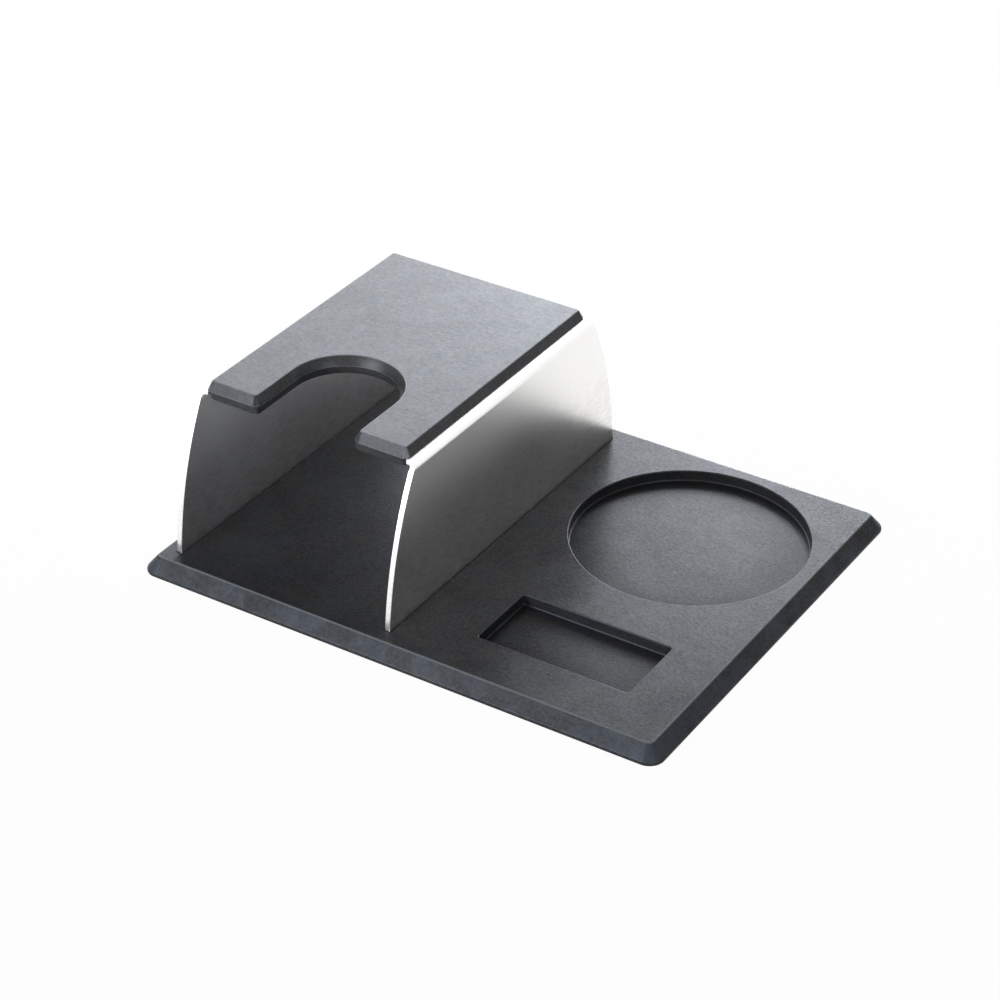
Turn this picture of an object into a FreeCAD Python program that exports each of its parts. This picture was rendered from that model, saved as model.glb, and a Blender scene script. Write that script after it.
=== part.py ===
import FreeCAD, Part
import os

import Sketcher

# Espresso tamping station: a rubber mat, a bent steel bridge and a rubber pad on the bridge. Millimetres.
#
# The station stands on the mat's underside. X runs along the mat's long front edge, Y runs from front to
# back and Z is up, with the origin under the middle of the mat. The bridge stands over the left half of the
# mat and is open to the front and the back. The pad on top has a notch, open to the front, for the neck of a
# filter holder. The right half of the mat has a round and a rectangular recess.

DRIVING_SIZES = [
    ("mat_height", 6.5, "mat, underside to top"),
    ("mat_rim_height", 1.2, "upright rim at the foot of the mat's sloped sides"),
    ("mat_slope_in", 4.3, "how far the mat's sides slope in"),
    ("mat_corner_radius", 5.8, "mat's corners at its rim"),
    ("mat_top_corner_radius", 2.0, "mat's corners at its top"),
    ("mat_edge_radius", 0.4, "rounding of the mat's long edges"),
    ("recess_depth", 4.2, "both recesses"),
    ("recess_foot_radius", 0.5, "rounding between a recess's wall and floor"),
    ("round_recess_diameter", 87.0, "round recess"),
    ("round_recess_from_bridge", 13.6, "bridge to the round recess"),
    ("round_recess_from_right", 9.4, "round recess to the mat's right edge"),
    ("round_recess_from_back", 9.3, "round recess to the mat's back edge"),
    ("oblong_recess_length", 59.0, "rectangular recess, left to right"),
    ("oblong_recess_width", 30.0, "rectangular recess, front to back"),
    ("oblong_recess_corner", 1.2, "rectangular recess, corner radius"),
    ("oblong_recess_from_right", 24.4, "rectangular recess to the mat's right edge"),
    ("oblong_recess_from_front", 24.0, "mat's front edge to the rectangular recess"),
    ("recess_spacing", 19.7, "rectangular recess to the round one, front to back"),
    ("sheet_thickness", 2.0, "steel sheet of the bridge"),
    ("bend_radius", 1.0, "inside radius of every bend"),
    ("bridge_width", 91.0, "bridge, over its two sides"),
    ("bridge_from_left", 9.0, "mat's left edge to the bridge"),
    ("bridge_top", 65.4, "upper face of the bridge's top"),
    ("side_from_edge", 10.0, "mat's front and back edges to the lower corners of a side"),
    ("side_top_set_back", 0.55, "pad's lower rim to the upper corners of a side, front and back"),
    ("side_edge_radius", 143.0, "radius of the curved front and back edges of a side"),
    ("foot_width", 14.0, "foot turned in at the bottom of a side"),
    ("foot_lift", 1.5, "underside of the feet above the table"),
    ("foot_gap", 0.15, "gap between the steel and the mat at each slot"),
    ("foot_end_gap", 0.5, "gap between a foot's free edge and its pocket"),
    ("stud_diameter", 4.8, "rubber stud through a foot"),
    ("stud_hole_gap", 0.1, "gap between a stud and its hole, all round"),
    ("stud_head_diameter", 8.0, "head of a stud"),
    ("stud_head_height", 1.1, "head of a stud"),
    ("stud_from_end", 25.0, "end of a foot to its first stud"),
    ("pad_from_side", 3.0, "bridge's outer side to the pad's lower rim"),
    ("pad_from_edge", 26.75, "mat's front and back edges to the pad's lower rim"),
    ("pad_height", 3.6, "pad above the steel"),
    ("pad_slope_in", 2.0, "how far the pad's sides slope in"),
    ("pad_corner_radius", 2.6, "pad's corners at its lower rim"),
    ("notch_width", 39.0, "notch at the pad's lower rim"),
    ("notch_straight", 23.75, "pad's front rim to the centre of the notch's round end"),
    ("lip_set_back", 0.5, "lip behind the pad's lower rim, at the front, the back and the notch"),
    ("lip_from_side", 1.4, "lip inside the pad's lower rim, left and right"),
    ("lip_end_gap", 0.3, "ends of the lip to the steel beside them"),
    ("lip_wall", 2.25, "lip in front of the edge of the steel top"),
    ("lip_under", 1.0, "lip under the steel top"),
    ("lip_reach", 4.0, "how far the lip reaches in under the steel top"),
]

STUDS_PER_FOOT = 3
BEYOND = 5.0       # how far a cutting outline runs out past the piece it cuts
LEVEL = 1e-4       # heights closer than this are one height

os.makedirs("parts", exist_ok=True)
document = FreeCAD.newDocument("tamping_station")
sheet = document.addObject("Spreadsheet::Sheet", "Sizes")
for row, (alias, number, note) in enumerate(DRIVING_SIZES, start=1):
    sheet.set(f"A{row}", str(number))
    sheet.setAlias(f"A{row}", alias)
    sheet.set(f"B{row}", note)
document.recompute()
derived_sizes = []


class Size:
    """A length that knows its number and the formula on the sheet that gives it."""

    def __init__(self, number, formula):
        self.number = number
        self.formula = formula

    @staticmethod
    def of(value):
        return value if isinstance(value, Size) else Size(value, str(value))

    def joined(self, other, sign, number):
        return Size(number, f"({self.formula} {sign} {Size.of(other).formula})")

    def __add__(self, other):
        return self.joined(other, "+", self.number + Size.of(other).number)

    def __sub__(self, other):
        return self.joined(other, "-", self.number - Size.of(other).number)

    def __mul__(self, other):
        return self.joined(other, "*", self.number * Size.of(other).number)

    def __truediv__(self, other):
        return self.joined(other, "/", self.number / Size.of(other).number)

    def __neg__(self):
        return Size(-self.number, f"(-1 * {self.formula})")


def size(alias):
    return Size(float(sheet.get(alias)), f"Sizes.{alias}")


def derive(alias, value, note):
    """Puts a size that follows from others on the sheet, below them, under a name of its own."""
    derived_sizes.append(alias)
    row = len(DRIVING_SIZES) + len(derived_sizes)
    sheet.set(f"A{row}", "=" + value.formula.replace("Sizes.", ""))
    sheet.setAlias(f"A{row}", alias)
    sheet.set(f"B{row}", note)
    document.recompute()
    return size(alias)


def bind(thing, name, value):
    """Ties a property or a sketch's constraint to a formula on the sheet."""
    thing.setExpression(name, Size.of(value).formula)


def make_body(name, across=None):
    body = document.addObject("PartDesign::Body", name)
    body.Label = name
    if across is not None:
        bind(body, "Placement.Base.x", across)
    return body


def origin_plane(body, role):
    return next(plane for plane in body.Origin.OriginFeatures if plane.Role == role)


def make_sketch(body, name, role="XY_Plane", lift=None):
    """A sketch on one of the body's own planes, lifted off it by a size."""
    sketch = body.newObject("Sketcher::SketchObject", name)
    sketch.AttachmentSupport = (origin_plane(body, role), [""])
    sketch.MapMode = "FlatFace"
    if lift is not None:
        bind(sketch, "AttachmentOffset.Base.z", lift)
    return sketch


def hold(sketch, kind, first, second, value):
    """A driving distance between two points of a sketch, each given as (geometry, point)."""
    if value.number < 0:
        first, second, value = second, first, -value
    index = sketch.addConstraint(Sketcher.Constraint(kind, *first, *second, value.number))
    bind(sketch, f"Constraints[{index}]", value)


ORIGIN = (-1, 1)
START, END, CENTRE = 1, 2, 3


def draw_circle(sketch, x, y, diameter):
    middle = FreeCAD.Vector(x.number, y.number, 0)
    circle = sketch.addGeometry(Part.Circle(middle, FreeCAD.Vector(0, 0, 1), diameter.number / 2))
    hold(sketch, "DistanceX", ORIGIN, (circle, CENTRE), x)
    if y.number == 0:
        sketch.addConstraint(Sketcher.Constraint("PointOnObject", circle, CENTRE, -1))
    else:
        hold(sketch, "DistanceY", ORIGIN, (circle, CENTRE), y)
    index = sketch.addConstraint(Sketcher.Constraint("Diameter", circle, diameter.number))
    bind(sketch, f"Constraints[{index}]", diameter)


class Side:
    """A straight side of an outline, along x = place or y = place, and the rounding that follows it.

    A radius rounds the corner to the next side. A turn joins two sides that are parallel by a half circle
    whose centre has that place along them.
    """

    def __init__(self, axis, place, radius=None, turn=None):
        self.axis = axis
        self.place = place
        self.radius = radius
        self.turn = turn


def corner_after(side, following):
    """The sharp corner between two sides, or where a half circle leaves the first side."""
    along = following.place if side.turn is None else side.turn
    if side.axis == "x":
        return FreeCAD.Vector(side.place.number, along.number, 0)
    return FreeCAD.Vector(along.number, side.place.number, 0)


def draw_outline(sketch, sides):
    """A closed outline of upright and level sides with round corners and half circles."""
    count = len(sides)
    leave = [corner_after(sides[i], sides[(i + 1) % count]) for i in range(count)]
    arrive = [corner_after(sides[i - 1], sides[i]) if sides[i - 1].turn is None
              else corner_after(Side(sides[i].axis, sides[i].place, turn=sides[i - 1].turn), sides[i])
              for i in range(count)]
    ways = [(leave[i] - arrive[i]).normalize() for i in range(count)]
    starts = list(arrive)
    ends = list(leave)
    for i, side in enumerate(sides):
        if side.radius is not None:
            ends[i] = leave[i] - ways[i] * side.radius.number
            starts[(i + 1) % count] = leave[i] + ways[(i + 1) % count] * side.radius.number
    lines = [sketch.addGeometry(Part.LineSegment(starts[i], ends[i])) for i in range(count)]
    for i, side in enumerate(sides):
        upright = side.axis == "x"
        sketch.addConstraint(Sketcher.Constraint("Vertical" if upright else "Horizontal", lines[i]))
        hold(sketch, "DistanceX" if upright else "DistanceY", ORIGIN, (lines[i], START), side.place)
    for i, side in enumerate(sides):
        following = (i + 1) % count
        if side.radius is None and side.turn is None:
            sketch.addConstraint(Sketcher.Constraint("Coincident", lines[i], END, lines[following], START))
            continue
        round_off(sketch, side, (lines[i], lines[following]), (ends[i], starts[following]),
                  (ways[i], ways[following]))


def round_off(sketch, side, lines, ends, ways):
    """The arc between two sides, tangent to both, given their lines, the arc's ends and the sides' ways."""
    line, following = lines
    start, end = ends
    way_in, way_out = ways
    if side.turn is None:
        middle = start + (end - start) * 0.5
        centre = start + way_out * side.radius.number
        radius = side.radius.number
        through = centre + (middle - centre).normalize() * radius
    else:
        centre = (start + end) * 0.5
        radius = (end - start).Length / 2
        through = centre + way_in * radius
    turns_left = way_in.x * (through - start).y - way_in.y * (through - start).x > 0
    arc = sketch.addGeometry(Part.Arc(start, through, end))
    first, last = (START, END) if turns_left else (END, START)
    sketch.addConstraint(Sketcher.Constraint("Tangent", line, END, arc, first))
    sketch.addConstraint(Sketcher.Constraint("Tangent", arc, last, following, START))
    if side.turn is None:
        index = sketch.addConstraint(Sketcher.Constraint("Radius", arc, radius))
        bind(sketch, f"Constraints[{index}]", side.radius)
    elif side.axis == "x":
        hold(sketch, "DistanceY", ORIGIN, (arc, CENTRE), side.turn)
    else:
        hold(sketch, "DistanceX", ORIGIN, (arc, CENTRE), side.turn)


def pad(body, sketch, name, length, slope_in=None, down=False, both_ways=False):
    feature = body.newObject("PartDesign::Pad", name)
    feature.Profile = sketch
    feature.Reversed = down
    feature.Midplane = both_ways
    bind(feature, "Length", length)
    if slope_in is not None:
        feature.setExpression("TaperAngle", f"-atan({slope_in.formula} / {length.formula})")
    document.recompute()
    return feature


def loft(body, lower, upper, name):
    feature = body.newObject("PartDesign::AdditiveLoft", name)
    feature.Profile = lower
    feature.Sections = [upper]
    feature.Ruled = True
    document.recompute()
    return feature


def pocket(body, sketch, name, length, both_ways=False):
    feature = body.newObject("PartDesign::Pocket", name)
    feature.Profile = sketch
    feature.Midplane = both_ways
    bind(feature, "Length", length)
    before = feature.BaseFeature.Shape.Volume
    document.recompute()
    if feature.Shape.isNull() or feature.Shape.Volume >= before:
        raise RuntimeError(f"{name} cuts nothing")
    return feature


def fillet(body, base, name, radius, chosen):
    """Rounds every edge of the base feature for which chosen(edge) is true."""
    names = [f"Edge{i}" for i, edge in enumerate(base.Shape.Edges, start=1) if chosen(edge)]
    feature = body.newObject("PartDesign::Fillet", name)
    feature.Base = (base, names)
    bind(feature, "Radius", radius)
    document.recompute()
    return feature


def lies_at(edge, height):
    """True for an edge that lies level at a height."""
    box = edge.BoundBox
    return abs(box.ZMin - height.number) < LEVEL and abs(box.ZMax - height.number) < LEVEL


round_diameter = size("round_recess_diameter")
oblong_width = size("oblong_recess_width")
bridge_width = size("bridge_width")
half_bridge = bridge_width / 2
half_length = derive(
    "mat_length",
    size("bridge_from_left") + bridge_width + size("round_recess_from_bridge") + round_diameter
    + size("round_recess_from_right"),
    "mat, left to right",
) / 2
half_depth = derive(
    "mat_depth",
    size("oblong_recess_from_front") + oblong_width + size("recess_spacing") + round_diameter
    + size("round_recess_from_back"),
    "mat, front to back",
) / 2
bridge_across = derive(
    "bridge_across",
    size("bridge_from_left") + half_bridge - half_length,
    "middle of the mat to the middle of the bridge",
)
half_pad_width = derive("half_pad_width", half_bridge - size("pad_from_side"), "half the pad's width")
half_pad_length = derive("half_pad_length", half_depth - size("pad_from_edge"), "half the pad's length")
half_foot_length = derive("half_foot_length", half_depth - size("side_from_edge"), "half a side, at its foot")
half_top_length = derive(
    "half_top_length",
    half_pad_length - size("side_top_set_back"),
    "half a side, at its top",
)
notch_centre = derive(
    "notch_centre",
    size("notch_straight") - half_pad_length,
    "middle of the pad to the centre of the notch's round end",
)

mat_height = size("mat_height")
mat_rim = size("mat_rim_height")
thickness = size("sheet_thickness")
bend = size("bend_radius")
outer_bend = bend + thickness
bridge_top = size("bridge_top")
foot_bottom = size("foot_lift")
foot_top = foot_bottom + thickness
foot_width = size("foot_width")
foot_gap = size("foot_gap")
stud_diameter = size("stud_diameter")
stud_from_side = (foot_width + outer_bend) / 2
half_notch = size("notch_width") / 2
lip_set_back = size("lip_set_back")
lip_wall = size("lip_wall")
half_lip_width = half_pad_width - size("lip_from_side")
half_lip_length = half_pad_length - lip_set_back
half_steel_top = half_lip_length - lip_wall
half_steel_notch = half_notch + lip_set_back + lip_wall


def draw_foot_pocket(sketch, hand):
    """Section of a slot and of the pocket that opens below it, for the foot on the right (1) or left (-1)."""
    outside = bridge_across + (half_bridge + foot_gap) * hand
    inside = bridge_across + (half_bridge - thickness - foot_gap) * hand
    free_end = bridge_across + (half_bridge - foot_width - size("foot_end_gap")) * hand
    draw_outline(sketch, [
        Side("x", free_end),
        Side("y", foot_top, radius=bend),
        Side("x", inside),
        Side("y", mat_height + BEYOND),
        Side("x", outside),
        Side("y", Size.of(-BEYOND)),
    ])


def stud_places():
    """The middle of every stud, on both feet."""
    spacing = (half_foot_length - size("stud_from_end")) * 2 / (STUDS_PER_FOOT - 1)
    steps = [i - (STUDS_PER_FOOT - 1) / 2 for i in range(STUDS_PER_FOOT)]
    return [((half_bridge - stud_from_side) * hand, spacing * step) for hand in (-1, 1) for step in steps]


def make_mat():
    """One moulded slab of rubber: sloped sides, two recesses, and slots, pockets and studs for the feet."""
    body = make_body("rubber_mat")

    def mat_outline(inset, corner):
        return [
            Side("y", inset - half_depth, radius=corner),
            Side("x", half_length - inset, radius=corner),
            Side("y", half_depth - inset, radius=corner),
            Side("x", inset - half_length, radius=corner),
        ]

    foot_outline = mat_outline(Size.of(0.0), size("mat_corner_radius"))
    rim_sketch = make_sketch(body, "mat_rim_outline")
    draw_outline(rim_sketch, foot_outline)
    pad(body, rim_sketch, "mat_rim", mat_rim)
    slope_sketch = make_sketch(body, "mat_slope_foot", lift=mat_rim)
    draw_outline(slope_sketch, foot_outline)
    top_sketch = make_sketch(body, "mat_top_outline", lift=mat_height)
    draw_outline(top_sketch, mat_outline(size("mat_slope_in"), size("mat_top_corner_radius")))
    slab = loft(body, slope_sketch, top_sketch, "mat_slope")
    slab = fillet(body, slab, "mat_edges", size("mat_edge_radius"),
                  lambda edge: lies_at(edge, mat_height) or lies_at(edge, Size.of(0.0)))

    recess_depth = size("recess_depth")
    recess_floor = mat_height - recess_depth
    round_sketch = make_sketch(body, "round_recess_outline", lift=mat_height)
    round_across = half_length - size("round_recess_from_right") - round_diameter / 2
    round_back = half_depth - size("round_recess_from_back") - round_diameter / 2
    draw_circle(round_sketch, round_across, round_back, round_diameter)
    pocket(body, round_sketch, "round_recess", recess_depth)

    right = half_length - size("oblong_recess_from_right")
    front = size("oblong_recess_from_front") - half_depth
    oblong_corner = size("oblong_recess_corner")
    oblong_sketch = make_sketch(body, "oblong_recess_outline", lift=mat_height)
    draw_outline(oblong_sketch, [
        Side("y", front, radius=oblong_corner),
        Side("x", right, radius=oblong_corner),
        Side("y", front + oblong_width, radius=oblong_corner),
        Side("x", right - size("oblong_recess_length"), radius=oblong_corner),
    ])
    recessed = pocket(body, oblong_sketch, "oblong_recess", recess_depth)
    fillet(body, recessed, "recess_feet", size("recess_foot_radius"),
           lambda edge: lies_at(edge, recess_floor))

    foot_sketch = make_sketch(body, "foot_pocket_section", role="XZ_Plane")
    for hand in (-1, 1):
        draw_foot_pocket(foot_sketch, hand)
    pocket(body, foot_sketch, "foot_pockets", (half_foot_length + foot_gap) * 2, both_ways=True)

    shank_sketch = make_sketch(body, "stud_shank_outline", lift=foot_top)
    head_sketch = make_sketch(body, "stud_head_outline", lift=foot_bottom)
    for x, y in stud_places():
        draw_circle(shank_sketch, bridge_across + x, y, stud_diameter)
        draw_circle(head_sketch, bridge_across + x, y, size("stud_head_diameter"))
    pad(body, shank_sketch, "stud_shanks", thickness, down=True)
    pad(body, head_sketch, "stud_heads", size("stud_head_height"), down=True)
    return body


def draw_side_end(sketch, hand):
    """What is cut off a side's front (-1) or back (1) end, up to the curved edge, seen along X."""
    foot = FreeCAD.Vector(half_foot_length.number * hand, mat_height.number, 0)
    top = FreeCAD.Vector(half_top_length.number * hand, bridge_top.number, 0)
    far = half_foot_length + BEYOND
    high = bridge_top + BEYOND
    radius = size("side_edge_radius")
    chord = top - foot
    outward = FreeCAD.Vector(chord.y * hand, -chord.x * hand, 0).normalize()
    sagitta = radius.number - (radius.number ** 2 - (chord.Length / 2) ** 2) ** 0.5
    through = foot + chord * 0.5 + outward * sagitta
    corners = [
        top,
        FreeCAD.Vector(top.x, high.number, 0),
        FreeCAD.Vector(far.number * hand, high.number, 0),
        FreeCAD.Vector(far.number * hand, foot.y, 0),
        foot,
    ]
    lines = [sketch.addGeometry(Part.LineSegment(a, b)) for a, b in zip(corners, corners[1:])]
    arc = sketch.addGeometry(Part.Arc(foot, through, top))
    for first, second in zip(lines, lines[1:]):
        sketch.addConstraint(Sketcher.Constraint("Coincident", first, END, second, START))
    foot_end, top_end = (START, END) if hand > 0 else (END, START)
    sketch.addConstraint(Sketcher.Constraint("Coincident", lines[-1], END, arc, foot_end))
    sketch.addConstraint(Sketcher.Constraint("Coincident", lines[0], START, arc, top_end))
    for line, kind in zip(lines, ("Vertical", "Horizontal", "Vertical", "Horizontal")):
        sketch.addConstraint(Sketcher.Constraint(kind, line))
    hold(sketch, "DistanceX", ORIGIN, (lines[0], START), half_top_length * hand)
    hold(sketch, "DistanceY", ORIGIN, (lines[0], START), bridge_top)
    hold(sketch, "DistanceX", ORIGIN, (lines[2], START), far * hand)
    hold(sketch, "DistanceY", ORIGIN, (lines[2], START), high)
    hold(sketch, "DistanceX", ORIGIN, (lines[3], END), half_foot_length * hand)
    hold(sketch, "DistanceY", ORIGIN, (lines[3], END), mat_height)
    index = sketch.addConstraint(Sketcher.Constraint("Radius", arc, radius.number))
    bind(sketch, f"Constraints[{index}]", radius)


def notched_top(half_width, half_length, half_slot):
    """Outline of a rectangle with a notch that is open to the front and ends in a half circle."""
    return [
        Side("y", -half_length),
        Side("x", -half_slot, turn=notch_centre),
        Side("x", half_slot),
        Side("y", -half_length),
        Side("x", half_width),
        Side("y", half_length),
        Side("x", -half_width),
    ]


def make_bridge():
    """One bent steel sheet: top, two sides with curved ends, and two feet turned in under the mat."""
    body = make_body("steel_bridge", across=bridge_across)
    inner = half_bridge - thickness
    foot_end = half_bridge - foot_width
    section = make_sketch(body, "bridge_section", role="XZ_Plane")
    draw_outline(section, [
        Side("y", foot_bottom, radius=outer_bend),
        Side("x", half_bridge, radius=outer_bend),
        Side("y", bridge_top, radius=outer_bend),
        Side("x", -half_bridge, radius=outer_bend),
        Side("y", foot_bottom),
        Side("x", -foot_end),
        Side("y", foot_top, radius=bend),
        Side("x", -inner, radius=bend),
        Side("y", bridge_top - thickness, radius=bend),
        Side("x", inner, radius=bend),
        Side("y", foot_top),
        Side("x", foot_end),
    ])
    pad(body, section, "bent_sheet", half_foot_length * 2, both_ways=True)

    end_sketch = make_sketch(body, "side_end_outline", role="YZ_Plane")
    for hand in (-1, 1):
        draw_side_end(end_sketch, hand)
    pocket(body, end_sketch, "side_ends", (half_bridge + BEYOND) * 2, both_ways=True)

    beside_lip = half_lip_width + size("lip_end_gap")
    far = half_top_length + BEYOND
    top_sketch = make_sketch(body, "steel_top_outline", lift=bridge_top)
    draw_outline(top_sketch, [
        Side("y", -half_steel_top),
        Side("x", -half_steel_notch, turn=notch_centre),
        Side("x", half_steel_notch),
        Side("y", -half_steel_top),
        Side("x", beside_lip),
        Side("y", -far),
        Side("x", -beside_lip),
    ])
    draw_outline(top_sketch, [
        Side("y", half_steel_top),
        Side("x", beside_lip),
        Side("y", far),
        Side("x", -beside_lip),
    ])
    pocket(body, top_sketch, "steel_top_edges", thickness)

    hole_sketch = make_sketch(body, "stud_hole_outline", lift=foot_top)
    for x, y in stud_places():
        draw_circle(hole_sketch, x, y, stud_diameter + size("stud_hole_gap") * 2)
    pocket(body, hole_sketch, "stud_holes", thickness)
    return body


def make_pad():
    """One moulded rubber pad: a notched slab with sloped sides, and a lip that wraps the steel's edges."""
    body = make_body("top_pad", across=bridge_across)
    corner = size("pad_corner_radius")

    def rim_outline(inset, half_width):
        half_slot = half_notch + inset
        end = half_pad_length - inset
        radius = corner - inset
        return [
            Side("y", -end, radius=radius),
            Side("x", -half_slot, turn=notch_centre),
            Side("x", half_slot, radius=radius),
            Side("y", -end, radius=radius),
            Side("x", half_width, radius=radius),
            Side("y", end, radius=radius),
            Side("x", -half_width, radius=radius),
        ]

    slab_sketch = make_sketch(body, "pad_outline", lift=bridge_top)
    draw_outline(slab_sketch, rim_outline(Size.of(0.0), half_pad_width))
    pad(body, slab_sketch, "pad_slab", size("pad_height"), slope_in=size("pad_slope_in"))

    lip_under = size("lip_under")
    lip_sketch = make_sketch(body, "lip_outline", lift=bridge_top)
    draw_outline(lip_sketch, rim_outline(lip_set_back, half_lip_width))
    pad(body, lip_sketch, "lip", thickness + lip_under, down=True)

    wide = half_lip_width + BEYOND
    steel_sketch = make_sketch(body, "steel_space_outline", lift=bridge_top)
    draw_outline(steel_sketch, notched_top(wide, half_steel_top, half_steel_notch))
    pocket(body, steel_sketch, "steel_space", thickness)

    reach = size("lip_reach")
    window_sketch = make_sketch(body, "window_outline", lift=bridge_top - thickness)
    draw_outline(window_sketch, notched_top(wide, half_steel_top - reach, half_steel_notch + reach))
    pocket(body, window_sketch, "window_under_steel", lip_under)
    return body


pieces = [make_mat(), make_bridge(), make_pad()]
document.recompute()

for item in document.Objects:
    if "Invalid" in item.State or "Error" in item.State:
        raise RuntimeError(f"{item.Name} failed: {item.State}")
for piece in pieces:
    if piece.Shape.isNull() or not piece.Shape.isValid() or len(piece.Shape.Solids) != 1:
        raise RuntimeError(f"{piece.Label} is not one valid solid")
for piece in pieces:
    piece.Shape.exportStep(f"parts/{piece.Label}.step")
    box = piece.Shape.optimalBoundingBox(False)
    print(f"{piece.Label}: volume {piece.Shape.Volume:.1f}, x {box.XMin:.2f} to {box.XMax:.2f}, "
          f"y {box.YMin:.2f} to {box.YMax:.2f}, z {box.ZMin:.2f} to {box.ZMax:.2f}")
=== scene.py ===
"""Espresso tamping station: a rubber mat, a bent steel bridge and the notched rubber pad on it.

Lengths are in millimetres until a mesh is finished, and every finished mesh is in metres.
X runs along the mat's front edge, Y to the back and Z up from the worktop.
"""
import math

import bmesh
import bpy
from mathutils import Matrix, Vector


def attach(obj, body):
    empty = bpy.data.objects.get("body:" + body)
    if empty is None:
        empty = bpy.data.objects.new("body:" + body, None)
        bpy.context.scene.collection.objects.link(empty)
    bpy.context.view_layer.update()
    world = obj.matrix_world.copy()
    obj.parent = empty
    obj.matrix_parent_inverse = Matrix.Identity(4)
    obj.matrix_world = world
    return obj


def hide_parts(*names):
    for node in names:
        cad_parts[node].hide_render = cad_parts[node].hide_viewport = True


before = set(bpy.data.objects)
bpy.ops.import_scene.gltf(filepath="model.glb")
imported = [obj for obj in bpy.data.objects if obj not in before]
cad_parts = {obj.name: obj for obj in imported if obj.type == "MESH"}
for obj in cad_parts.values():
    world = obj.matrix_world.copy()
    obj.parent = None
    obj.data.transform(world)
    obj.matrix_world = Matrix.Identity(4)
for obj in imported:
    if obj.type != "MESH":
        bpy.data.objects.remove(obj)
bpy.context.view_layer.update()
scene = bpy.context.scene
scene.view_settings.view_transform = "Standard"

MM = 0.001

# Mat
MAT_HALF_LENGTH = 105.0
MAT_HALF_DEPTH = 85.0
MAT_HEIGHT = 6.5
MAT_RIM_HEIGHT = 1.2
MAT_SLOPE_IN = 4.3
MAT_FOOT_CORNER = 5.8
MAT_TOP_CORNER = 2.0
MAT_EDGE = 0.4
RECESS_DEPTH = 4.2
RECESS_FOOT = 0.5
ROUND_CENTRE = (52.1, 32.2)
ROUND_RADIUS = 43.5
OBLONG_CENTRE = (51.1, -46.0)
OBLONG_SIZE = (59.0, 30.0)
OBLONG_CORNER = 1.2

# Bridge
BRIDGE_ACROSS = -50.5
BRIDGE_HALF_WIDTH = 45.5
BRIDGE_TOP = 65.4
SHEET = 2.0
OUTER_BEND = 3.0
FOOT_WIDTH = 14.0
FOOT_BOTTOM = 1.5
FOOT_HALF_LENGTH = 75.0
SIDE_TOP_HALF_LENGTH = 57.7
SIDE_END_RADIUS = 143.0
STUD_ACROSS = 37.0
STUD_SPACING = 50.0
STUD_HOLE_RADIUS = 2.5
FOOT_GAP = 0.15
FOOT_END_GAP = 0.5
POCKET_LEDGE = 0.25
STUD_LINE = [(0, 3.8), (2.4, 3.8), (2.4, 1.5), (3.9, 1.5), (4.0, 1.4), (4.0, 0.7), (3.7, 0.4), (0, 0.4)]
NOTCH_CENTRE = -34.5
STEEL_NOTCH_HALF = 22.25
STEEL_TOP_END = 55.5
BESIDE_LIP = 41.4
CUT_EDGE = 0.2

# Pad
PAD_HEIGHT = 3.6
PAD_SLOPE_IN = 2.0
PAD_HALF_WIDTH = 42.5
PAD_HALF_LENGTH = 58.25
PAD_CORNER = 2.6
PAD_MOUTH_CORNER = 3.2
PAD_NOTCH_HALF = 19.5
PAD_EDGE = 0.25
LIP_HALF_WIDTH = 41.1
LIP_HALF_LENGTH = 57.75
LIP_NOTCH_HALF = 20.0
LIP_WALL = 2.25
LIP_REACH = 4.0
LIP_UNDER = 1.0
LIP_CORNER = 2.1
LIP_EDGE = 0.25

# Colours of the rubber
RUBBER_DARK = (0.017, 0.017, 0.018)
RUBBER_PALE = (0.037, 0.038, 0.040)
# Worn rims, paler partly from wear and partly as a painted highlight
RUBBER_WORN_AND_HIGHLIGHT = (0.18, 0.19, 0.20)
RUBBER_DUSTY = (0.080, 0.092, 0.112)
RUBBER_COOL = (0.020, 0.030, 0.052)
RUBBER_WARM = (0.046, 0.033, 0.028)
# Painted shade in the slots beside the steel
RUBBER_PAINTED_SLOT_SHADE = (0.004, 0.004, 0.004)

# Patterns of the rubber: waves a metre, detail, roughness and distortion
GRAIN = (950, 1, 0.5)
COARSE = (520, 2, 0.6)
CLOUD = (150, 4, 0.65, 0.6)
DRIFT = (36, 3, 0.6, 0.8)
TINT = (120, 3, 0.6, 0.4)
PATCH = (55, 5, 0.65, 0.5)

# How much each pattern moves the rubber's tone, its gloss and its bump
GRAIN_IN_TONE = 2.4
COARSE_IN_TONE = 1.0
CLOUD_IN_TONE = 0.9
DRIFT_IN_TONE = 2.2
TONE_TO_PALE = 1.4
TONE_TO_BLOOM = 1.2
DRIFT_IN_GLOSS = 0.10
COARSE_IN_GLOSS = 0.08
GRAIN_IN_BUMP = 0.6
COARSE_IN_BUMP = 0.4
BUMP_STRENGTH = 0.5
BUMP_DEPTH = 0.00018

# Tints and dust on the rubber: where in the pattern they start and are full, and their share
COOL_BETWEEN = (0.52, 0.68)
WARM_BETWEEN = (0.48, 0.32)
TINT_SHARE = 0.25
DUST_BETWEEN = (0.40, 0.62)
DUST_IN_PATCH = 0.45
DUST_EVERYWHERE = 0.08

# The bloom, a thin coat on the rubber, is cut back as painted shade in the recesses near their walls, under
# the bridge and at its slots
SOFT_SHADE = 21.0
BLOOM_IN_PAINTED_FLOOR_SHADE = (0.75, 0.3)
BLOOM_IN_PAINTED_BRIDGE_SHADE = 0.15
SLOT_SHADE = (0.15, 1.0)
SLOT_REACH = (0.2, 1.0)

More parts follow.
